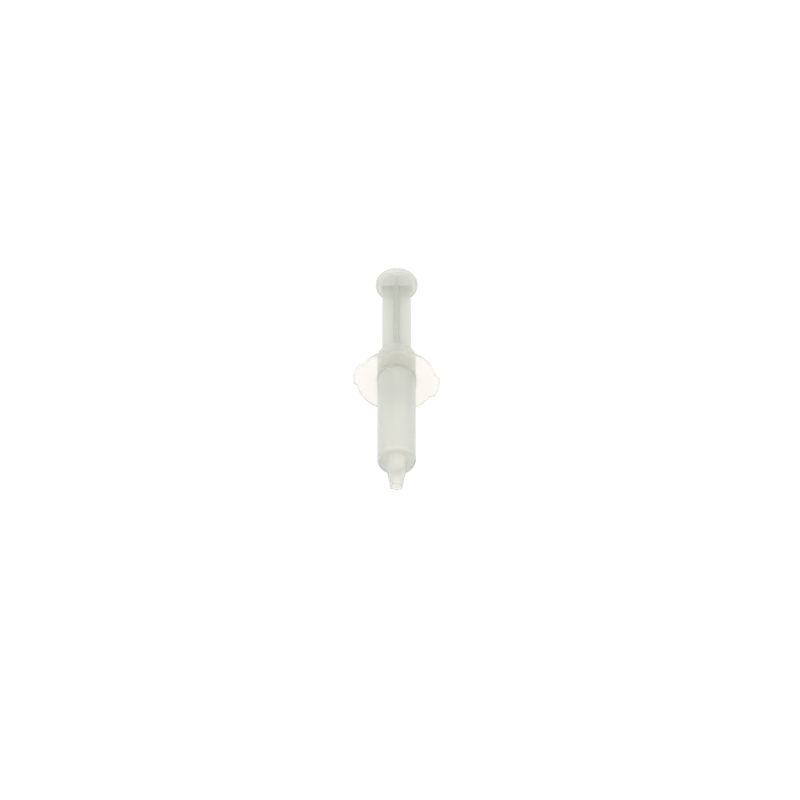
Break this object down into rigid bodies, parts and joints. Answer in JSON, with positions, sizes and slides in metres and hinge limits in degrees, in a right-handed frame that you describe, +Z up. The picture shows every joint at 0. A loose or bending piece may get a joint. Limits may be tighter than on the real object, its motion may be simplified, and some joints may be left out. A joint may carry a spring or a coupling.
{
  "type": "oral syringe",
  "caption": "Oral dosing syringe in translucent plastic: flat-mouthed nozzle, tube with an eared finger flange, and a ribbed plunger rod with thumb disc and piston seal.",
  "frame": {"origin": "on the table under the middle of the bounding box, with the syringe lying on its flange rim and its barrel shoulder", "axes": "+Y runs from the nozzle to the thumb disc, seen from above; the syringe's axis rises 10.32 degrees from it towards +Z; +Z is up; +X is to the right when looking from the nozzle"},
  "size_m": [0.0376, 0.1302, 0.0373],
  "materials": {
    "barrel_plastic": "natural polypropylene, translucent, satin",
    "rod_plastic": "natural polypropylene, translucent, satin",
    "seal_elastomer": "pale translucent elastomer"
  },
  "bodies": {
    "barrel": {"barrel": "barrel_plastic"},
    "piston": {"piston_seal": "seal_elastomer"},
    "plunger": {"plunger_rod": "rod_plastic"}
  },
  "joints": [
    {"name": "plunger_slide", "type": "slide", "parent": "barrel", "child": "piston", "axis": [0, 0.9838, 0.1792], "range_m": [-0.0446, 0.0098]},
    {"name": "plunger_turn", "type": "hinge", "parent": "piston", "child": "plunger", "pos_m": [0, 0.00147, 0.01714], "axis": [0, 0.9838, 0.1792], "continuous": true}
  ]
}
